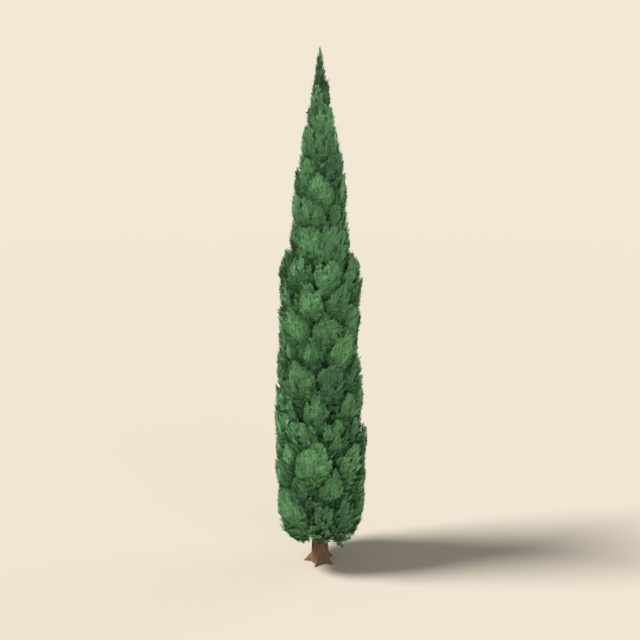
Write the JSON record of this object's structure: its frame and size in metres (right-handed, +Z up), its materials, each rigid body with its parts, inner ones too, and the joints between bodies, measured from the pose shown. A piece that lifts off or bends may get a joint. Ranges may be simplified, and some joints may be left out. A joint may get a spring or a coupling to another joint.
{
  "type": "pencil cypress tree",
  "caption": "Tall narrow evergreen tree with a straight root-flared trunk and a dense spire of upright foliage plumes, rooted at ground level.",
  "frame": {"origin": "middle of the trunk's flat cut at ground level", "axes": "+Z up along the trunk, +X to the right and -Y to the front as the tree is usually seen"},
  "size_m": [1.8063, 1.85, 9.99],
  "materials": {
    "bark": "thin grey-brown fibrous bark in long shallow vertical ridges, matt",
    "foliage_mid": "scale-leaf sprays in mid green, matt",
    "foliage_deep": "scale-leaf sprays in deep green, matt",
    "foliage_light": "scale-leaf sprays in light green, matt"
  },
  "bodies": {
    "root": {"trunk": "bark", "foliage_tier_01_mass_1": "foliage_light", "foliage_tier_01_mass_2": "foliage_deep", "foliage_tier_01_mass_3": "foliage_deep", "foliage_tier_01_mass_4": "foliage_mid", "foliage_tier_02_mass_1": "foliage_mid", "foliage_tier_02_mass_2": "foliage_light", "foliage_tier_02_mass_3": "foliage_mid", "foliage_tier_02_mass_4": "foliage_mid", "foliage_tier_03_mass_1": "foliage_deep", "foliage_tier_03_mass_2": "foliage_light", "foliage_tier_03_mass_3": "foliage_light", "foliage_tier_03_mass_4": "foliage_light", "foliage_tier_04_mass_1": "foliage_light", "foliage_tier_04_mass_2": "foliage_mid", "foliage_tier_04_mass_3": "foliage_mid", "foliage_tier_04_mass_4": "foliage_mid", "foliage_tier_05_mass_1": "foliage_light", "foliage_tier_05_mass_2": "foliage_light", "foliage_tier_05_mass_3": "foliage_light", "foliage_tier_05_mass_4": "foliage_mid", "foliage_tier_06_mass_1": "foliage_mid", "foliage_tier_06_mass_2": "foliage_mid", "foliage_tier_06_mass_3": "foliage_deep", "foliage_tier_06_mass_4": "foliage_deep", "foliage_tier_07_mass_1": "foliage_deep", "foliage_tier_07_mass_2": "foliage_light", "foliage_tier_07_mass_3": "foliage_deep", "foliage_tier_08_mass_1": "foliage_mid", "foliage_tier_08_mass_2": "foliage_light", "foliage_tier_08_mass_3": "foliage_light", "foliage_tier_09_mass_1": "foliage_mid", "foliage_tier_09_mass_2": "foliage_deep", "foliage_tier_09_mass_3": "foliage_deep", "foliage_tier_10_mass_1": "foliage_deep", "foliage_tier_10_mass_2": "foliage_light", "foliage_tier_10_mass_3": "foliage_deep", "foliage_tier_11_mass_1": "foliage_light", "foliage_tier_11_mass_2": "foliage_mid", "foliage_tier_11_mass_3": "foliage_mid", "foliage_tier_12_mass_1": "foliage_mid", "foliage_tier_12_mass_2": "foliage_light", "foliage_tier_13_mass_1": "foliage_light", "foliage_tier_13_mass_2": "foliage_mid", "foliage_tier_14_mass_1": "foliage_mid", "foliage_tier_14_mass_2": "foliage_mid", "foliage_tier_15_mass_1": "foliage_mid", "foliage_tier_15_mass_2": "foliage_light", "foliage_tier_16_mass_1": "foliage_light", "foliage_tier_16_mass_2": "foliage_mid", "foliage_tier_16_mass_3": "foliage_light", "foliage_tier_17_mass_1": "foliage_deep", "foliage_tier_17_mass_2": "foliage_light", "foliage_tier_17_mass_3": "foliage_light", "foliage_tier_18_mass_1": "foliage_deep"}
  },
  "joints": []
}
